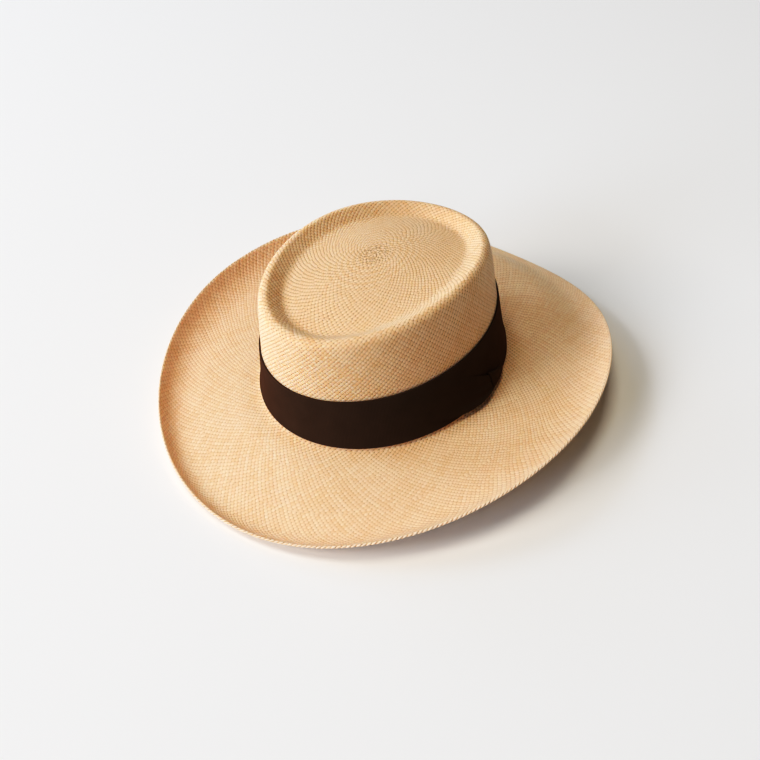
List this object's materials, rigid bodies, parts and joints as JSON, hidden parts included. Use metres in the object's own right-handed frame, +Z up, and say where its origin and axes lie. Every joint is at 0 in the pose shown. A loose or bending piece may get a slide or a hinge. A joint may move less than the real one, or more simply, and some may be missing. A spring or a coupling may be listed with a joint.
{
  "type": "gambler hat",
  "caption": "Woven straw hat with a telescope crown, a wide brim turned up at its front and sides and drooping at its back, and a dark ribbon band gathered into a knot at the wearer's left.",
  "frame": {"origin": "on the surface that the hat rests on, under the middle of its bounding box", "axes": "+Z up, the front of the hat towards -Y, the wearer's left towards +X"},
  "size_m": [0.335, 0.3636, 0.1104],
  "materials": {
    "straw": "natural woven straw, satin",
    "ribbon": "matte woven ribbon"
  },
  "bodies": {
    "root": {"straw_body": "straw", "hat_band": "ribbon", "ribbon_gather_front": "ribbon", "ribbon_gather_back": "ribbon", "bow_knot": "ribbon"}
  },
  "joints": []
}
